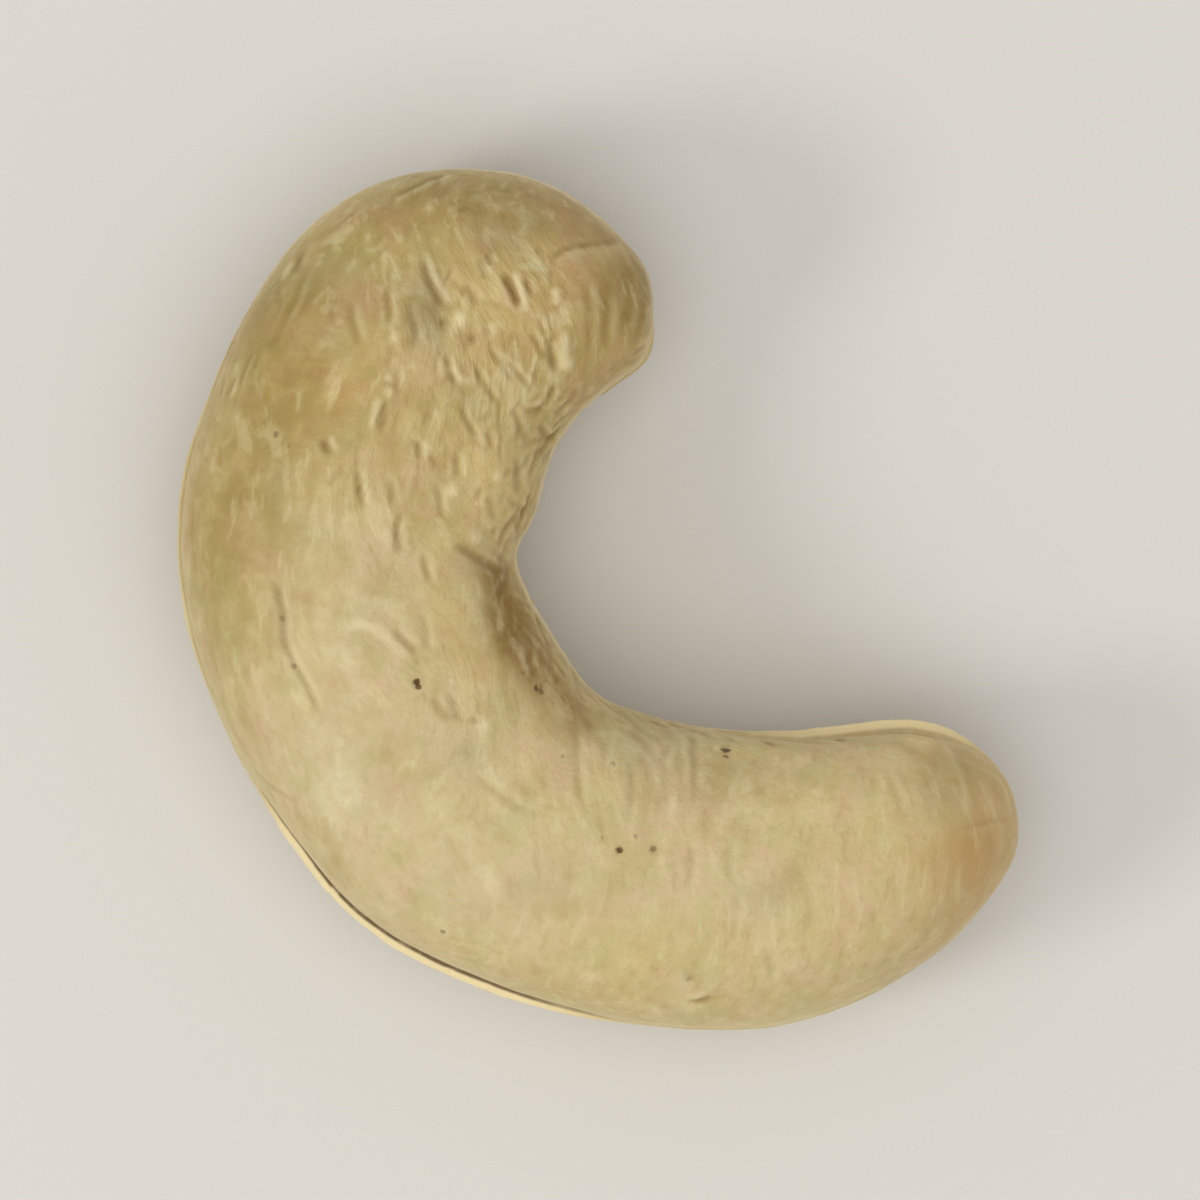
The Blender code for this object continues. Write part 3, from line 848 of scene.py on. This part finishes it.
def kernel_material():
    mat = bpy.data.materials.new("cashew_flesh")
    g = Graph(mat)
    place = g.node("ShaderNodeTexCoord").outputs["Object"]
    mm = g.vector("MULTIPLY", place, (1000.0, 1000.0, 1000.0))
    lean = g.node("ShaderNodeAttribute", attribute_name="grain").outputs["Vector"]   # along the grain

    # cream flesh, mottled at three sizes
    broad = g.noise(mm, 0.33, 3.0, 0.55, 0.6)
    middle = g.noise(mm, 1.1, 3.0, 0.6, 0.4)
    fine = g.noise(mm, 4.2, 3.0, 0.6)
    colour = g.mix(g.span(broad, 0.35, 0.65), rgb(203, 183, 134), rgb(198, 179, 124))
    colour = g.mix(g.span(middle, 0.42, 0.70, 0.0, 0.55), colour, rgb(192, 168, 115))
    colour = g.mix(g.span(middle, 0.32, 0.50, 0.38, 0.0), colour, rgb(206, 191, 140))
    # the hooked arm is darker and more golden; the steep walls get a little painted shade
    colour = g.mix(g.math("MULTIPLY", g.attribute("arm"), g.span(middle, 0.3, 0.7, 0.95, 0.70)), colour, rgb(188, 162, 99))
    colour = g.mix(g.math("MULTIPLY", g.attribute("rim"), 0.10), colour, rgb(184, 160, 106))
    # paler flesh, and painted light on the long arm's upper edge
    colour = g.mix(g.math("MULTIPLY", g.attribute("pale"), 0.60), colour, rgb(190, 179, 143))
    # tan and olive clouds, and pale flecks
    cloud = g.spread(g.vector("ADD", mm, (3.7, 9.1, 5.3)), 0.42)
    tones = g.node("ShaderNodeSeparateColor")
    g.put(tones.inputs[0], cloud)
    small_cloud = g.spread(g.vector("ADD", mm, (13.7, 1.9, 7.3)), 1.25)
    small_tones = g.node("ShaderNodeSeparateColor")
    g.put(small_tones.inputs[0], small_cloud)
    reach = g.math("ADD", 0.20, g.math("MULTIPLY", g.attribute("arm"), 0.70))
    tan_cloud = g.span(g.math("ADD", tones.outputs[0], g.math("MULTIPLY", small_tones.outputs[0], 0.5)), 0.74, 0.92)
    olive_cloud = g.span(g.math("ADD", tones.outputs[1], g.math("MULTIPLY", small_tones.outputs[1], 0.5)), 0.74, 0.92)
    flecks = g.span(g.math("ADD", g.math("MULTIPLY", tones.outputs[2], 0.5), small_tones.outputs[2]), 0.82, 0.98)
    colour = g.mix(g.math("MULTIPLY", tan_cloud, g.math("MULTIPLY", reach, 0.95)), colour, rgb(182, 148, 96))
    colour = g.mix(g.math("MULTIPLY", olive_cloud, g.math("MULTIPLY", reach, 0.90)), colour, rgb(172, 153, 88))
    colour = g.mix(g.math("MULTIPLY", flecks, g.math("MULTIPLY", reach, 0.65)), colour, rgb(212, 200, 152))
    pinkish = g.span(g.noise(g.vector("ADD", mm, (21.3, 4.9, 11.7)), 0.62, 2.0, 0.5, 0.5), 0.50, 0.62)
    greenish = g.span(g.noise(g.vector("ADD", mm, (2.3, 34.9, 1.7)), 0.70, 2.0, 0.5, 0.5), 0.50, 0.62)
    calm = g.math("SUBTRACT", 0.42, g.math("MULTIPLY", g.attribute("arm"), 0.20))
    colour = g.mix(g.math("MULTIPLY", pinkish, calm), colour, rgb(206, 177, 138))
    colour = g.mix(g.math("MULTIPLY", greenish, calm), colour, rgb(184, 176, 120))
    # stains, and a darkening multiply of painted shade
    colour = g.mix(g.math("MULTIPLY", g.attribute("shade"), g.span(middle, 0.3, 0.6, 0.35, 0.70)), colour, rgb(172, 152, 94))
    colour = g.mix(g.math("MULTIPLY", g.attribute("light"), g.span(middle, 0.3, 0.6, 0.75, 0.45)), colour, rgb(222, 208, 170))
    colour = g.mix(g.math("MULTIPLY", g.attribute("olive"), g.span(middle, 0.3, 0.6, 0.60, 1.0)), colour, rgb(144, 111, 16))
    colour = g.mix(g.math("MULTIPLY", g.attribute("tan"), g.span(broad, 0.3, 0.6, 0.45, 0.85)), colour, rgb(186, 148, 90))
    colour = g.mix(g.math("MULTIPLY", g.attribute("brown"), g.span(middle, 0.3, 0.6, 0.50, 0.95)), colour, rgb(146, 115, 56))
    # painted shade, multiplied in
    colour = g.mix(g.math("MULTIPLY", g.attribute("painted_shade"), g.span(middle, 0.34, 0.62, 0.62, 1.15)), colour, (0.70, 0.665, 0.49, 1.0), "MULTIPLY")
    # lines of the grain, and the finest mottling
    lines = g.noise(g.vector("MULTIPLY", lean, (1.0, 0.27, 0.6)), 2.3, 3.0, 0.6, 0.3)
    creased = g.attribute("wrinkled")
    colour = g.mix(g.math("MULTIPLY", g.span(lines, 0.52, 0.68), g.math("MULTIPLY_ADD", creased, 0.07, 0.28)), colour, rgb(164, 137, 82))
    colour = g.mix(g.math("MULTIPLY", g.span(lines, 0.32, 0.47, 1.0, 0.0), g.math("MULTIPLY_ADD", creased, 0.11, 0.28)), colour, rgb(220, 207, 158))
    colour = g.mix(g.span(fine, 0.45, 0.75, 0.0, 0.24), colour, rgb(172, 146, 92))
    # painted shade in the creases and painted highlights on the crests, grains and raised lips
    colour = g.mix(g.math("MULTIPLY", g.attribute("crest"), 0.50), colour, rgb(222, 206, 160))
    colour = g.mix(g.math("MULTIPLY", g.attribute("painted_highlight"), 0.62), colour, rgb(232, 218, 172))
    colour = g.mix(g.math("MULTIPLY", g.attribute("cavity"), 0.58), colour, rgb(140, 110, 56))
    colour = g.mix(g.math("MULTIPLY", g.attribute("painted_crease_shade"), 0.58, clamp=True), colour, rgb(120, 92, 44))
    # the lips of the seam are pale, partly their own paler flesh and partly a painted highlight; the glint is a painted
    # highlight along the upper edge; the seam's line is dark
    seam_d = g.attribute("seam_d")
    away = g.math("ABSOLUTE", seam_d)
    edge_noise = g.noise(mm, 2.2, 2.0)
    slips = g.math("ADD", g.attribute("slip_inner"), g.attribute("slip_outer"), clamp=True)
    plain = g.math("SUBTRACT", 1.0, slips, clamp=True)
    lips = g.math("MULTIPLY", g.span(away, 0.20, 0.55, 1.0, 0.0), g.math("MULTIPLY_ADD", g.attribute("slit"), 0.20, 0.26))
    colour = g.mix(lips, colour, rgb(232, 216, 180))
    # painted highlight: a bright rim just above the seam
    glint = g.math("MULTIPLY", g.span(g.math("ADD", away, g.math("MULTIPLY", g.math("SUBTRACT", edge_noise, 0.5), 1.6)), 0.30, 1.15, 0.52, 0.0), g.attribute("rim_light"))
    colour = g.mix(glint, colour, rgb(238, 223, 196))
    colour = g.mix(g.math("MULTIPLY", g.span(away, 0.10, 0.40, 0.85, 0.0), slips), colour, rgb(240, 223, 184))
    thin = g.math("ADD", 0.030, g.math("MULTIPLY", g.attribute("slit"), 0.060))
    line = g.span(g.math("SUBTRACT", away, g.math("MULTIPLY", thin, g.span(edge_noise, 0.35, 0.65, 0.35, 1.3))), -0.005, 0.045, 1.0, 0.0)
    shows = g.math("MAXIMUM", g.attribute("broken"), g.math("MULTIPLY", g.attribute("slit"), g.span(edge_noise, 0.30, 0.45, 0.35, 0.95)))
    line = g.math("MULTIPLY", line, g.math("MULTIPLY", plain, shows))
    colour = g.mix(line, colour, rgb(92, 66, 36))
    # on a ledge the dark line lies in its inner corner
    corner = g.math("MULTIPLY", g.span(seam_d, 0.040, 0.075), g.span(seam_d, 0.18, 0.32, 1.0, 0.0))
    corner = g.math("MULTIPLY", corner, g.span(edge_noise, 0.25, 0.55, 0.75, 1.0))
    colour = g.mix(g.math("MULTIPLY", corner, g.math("MULTIPLY", g.attribute("slip_outer"), 0.90)), colour, rgb(84, 60, 32))
    colour = g.mix(g.math("MULTIPLY", corner, g.math("MULTIPLY", g.attribute("slip_inner"), 0.45)), colour, rgb(142, 112, 58))
    # the embryo's tip
    colour = g.mix(g.math("MULTIPLY", g.attribute("nub_pale"), g.span(edge_noise, 0.30, 0.65, 0.25, 0.70)), colour, rgb(222, 208, 170))
    colour = g.mix(g.math("MULTIPLY", g.attribute("nub"), 0.60), colour, rgb(176, 158, 108))
    colour = g.mix(g.math("MULTIPLY", g.attribute("nub_dark"), 0.75), colour, rgb(88, 64, 36))
    # specks: a scatter of tiny ones, and the ones that show on the upper face
    cells = g.node("ShaderNodeTexVoronoi", feature="F1")
    g.put(cells.inputs["Vector"], g.vector("ADD", mm, g.vector("MULTIPLY", g.spread(mm, 5.0), (0.12, 0.12, 0.12))))
    cells.inputs["Scale"].default_value = 0.62
    cells.inputs["Randomness"].default_value = 1.0
    sized = g.node("ShaderNodeSeparateColor")
    g.put(sized.inputs[0], cells.outputs["Color"])
    size = g.span(sized.outputs[0], 0.62, 1.0, 0.0, 0.060, False)
    dots = g.span(g.math("SUBTRACT", cells.outputs["Distance"], size), -0.014, 0.016, 1.0, 0.0)
    dots = g.math("MULTIPLY", dots, g.math("GREATER_THAN", sized.outputs[0], 0.68))
    dots = g.math("MULTIPLY", dots, g.math("MULTIPLY_ADD", g.attribute("upper"), -0.85, 1.0))
    colour = g.mix(g.math("MULTIPLY", dots, g.span(sized.outputs[1], 0.0, 1.0, 0.25, 0.75, False)), colour, rgb(96, 72, 34))
    ragged = g.math("MULTIPLY", g.math("SUBTRACT", g.noise(mm, 9.0, 2.0), 0.5), 0.16)
    for x, y, r, strength in ((569.2, 813.8, 0.66, 1.00), (569.5, 814.7, 0.50, 0.85), (605.4, 843.9, 0.62, 0.90), (611.5, 843.7, 0.45, 0.50),
                              (590.5, 815.0, 0.60, 0.75), (591.4, 815.6, 0.50, 0.65), (624.6, 826.2, 0.85, 0.90), (624.7, 827.3, 0.55, 0.70), (544.0, 769.5, 0.55, 0.50),
                              (573.8, 858.6, 0.50, 0.55), (617.8, 867.2, 0.45, 0.20), (608.4, 841.6, 0.35, 0.40), (602.4, 841.8, 0.30, 0.35),
                              (547.3, 811.0, 0.50, 0.45), (545.2, 802.4, 0.55, 0.40), (595.2, 827.2, 0.40, 0.35), (604.3, 828.4, 0.45, 0.35),
                              (588.2, 812.2, 0.40, 0.40), (546.4, 771.4, 0.35, 0.35)):
        cx, cy = px(x, y)
        here = np.argmin((points[:, 0] - cx) ** 2 + (points[:, 1] - cy) ** 2 + 9.0 * (top < 0.5))
        off = g.math("ADD", g.vector("DISTANCE", mm, (cx, cy, float(points[here, 2]))), ragged)
        dot = g.span(off, r * 0.15 - 0.030, r * 0.15 + 0.035, strength, 0.0)
        colour = g.mix(g.math("MULTIPLY", dot, g.attribute("upper")), colour, rgb(84, 62, 26))
    colour = g.mix(1.0, colour, FLESH_GAIN, "MULTIPLY")
    # lighter and darker patches: partly the flesh's own colour, partly painted light and shade
    depth = g.node("ShaderNodeCombineColor")
    for socket in depth.inputs:
        g.put(socket, g.math("ADD", g.attribute("tone_and_painted_light"), 1.0))
    colour = g.mix(1.0, colour, depth.outputs[0], "MULTIPLY")
    # painted shade on the steep walls: their colour is warmed where the sheen would turn it bluish
    colour = g.mix(g.attribute("rim"), colour, (1.0, 0.985, 0.86, 1.0), "MULTIPLY")
    g.put(g.shader.inputs["Base Color"], colour)

    rough = g.span(middle, 0.3, 0.7, 0.44, 0.56)
    rough = g.math("ADD", rough, g.math("MULTIPLY", g.attribute("cavity"), 0.12))
    g.put(g.shader.inputs["Roughness"], rough)
    g.shader.inputs["IOR"].default_value = 1.45
    g.shader.inputs["Specular IOR Level"].default_value = 0.38
    g.shader.inputs["Sheen Weight"].default_value = 0.32
    g.shader.inputs["Sheen Roughness"].default_value = 0.28
    g.shader.inputs["Sheen Tint"].default_value = (1.0, 0.88, 0.60, 1.0)

    # skin-fine relief: cells and short wrinkles along the grain
    cell = g.noise(mm, 7.0, 2.0, 0.65)
    wrinkle = g.noise(g.vector("MULTIPLY", lean, (4.2, 1.1, 2.2)), 1.0, 2.0, 0.55, 0.3)
    crimp = g.math("ABSOLUTE", g.math("SUBTRACT", wrinkle, 0.5))
    crimp = g.math("MULTIPLY", g.span(crimp, 0.0, 0.10, -1.0, 0.0), g.attribute("wrinkled"))
    folds = g.math("MULTIPLY", wrinkle, g.math("MULTIPLY", g.attribute("wrinkled"), 1.2))
    height = g.math("ADD", g.math("MULTIPLY", cell, 0.7), folds)
    height = g.math("ADD", height, g.math("MULTIPLY", crimp, 0.22))
    bump = g.node("ShaderNodeBump")
    bump.inputs["Strength"].default_value = 0.60
    bump.inputs["Distance"].default_value = 0.00006
    g.put(bump.inputs["Height"], height)
    g.put(g.shader.inputs["Normal"], bump.outputs["Normal"])
    return mat


kernel_mesh.materials.append(kernel_material())


# ================================================================ the setting
def floor():
    bpy.ops.mesh.primitive_plane_add(size=1.2, location=(0, 0, -0.00002))
    obj = bpy.context.object
    obj.name = "floor"
    mat = bpy.data.materials.new("floor_paper")
    g = Graph(mat)
    place = g.node("ShaderNodeTexCoord").outputs["Object"]
    soft = g.noise(g.vector("MULTIPLY", place, (1000.0, 1000.0, 1000.0)), 0.06, 2.0)
    g.put(g.shader.inputs["Base Color"], g.mix(soft, (0.715, 0.700, 0.665, 1), (0.690, 0.675, 0.640, 1)))
    g.shader.inputs["Roughness"].default_value = 0.85
    g.shader.inputs["Specular IOR Level"].default_value = 0.2
    obj.data.materials.append(mat)


def area_light(name, place, size, power, colour=(1, 1, 1)):
    data = bpy.data.lights.new(name, "AREA")
    data.shape = "DISK"
    data.size = size
    data.energy = power
    data.color = colour
    obj = bpy.data.objects.new(name, data)
    obj.location = place
    obj.rotation_euler = (Vector((0, 0, 0.005)) - Vector(place)).to_track_quat("-Z", "Y").to_euler()
    bpy.context.scene.collection.objects.link(obj)


def camera():
    data = bpy.data.cameras.new("camera")
    data.sensor_width = 36.0
    distance = 0.42
    field = 0.0325
    data.lens = 36.0 * (distance - 0.006) / field
    data.clip_start = 0.01
    data.clip_end = 10.0
    obj = bpy.data.objects.new("camera", data)
    obj.location = (0, 0, distance)
    obj.rotation_euler = (0, 0, 0)
    bpy.context.scene.collection.objects.link(obj)
    bpy.context.scene.camera = obj


floor()
area_light("key", (-0.29, -0.10, 0.30), 0.12, 0.42, (1.0, 0.985, 0.96))
area_light("overhead", (0.00, -0.08, 0.55), 0.45, 1.20, (1.0, 0.99, 0.975))
world = bpy.data.worlds.new("studio")
world.use_nodes = True
world.node_tree.nodes["Background"].inputs["Color"].default_value = (1.0, 0.985, 0.96, 1)
world.node_tree.nodes["Background"].inputs["Strength"].default_value = 0.52
bpy.context.scene.world = world
bpy.context.scene.view_settings.view_transform = "Standard"
camera()
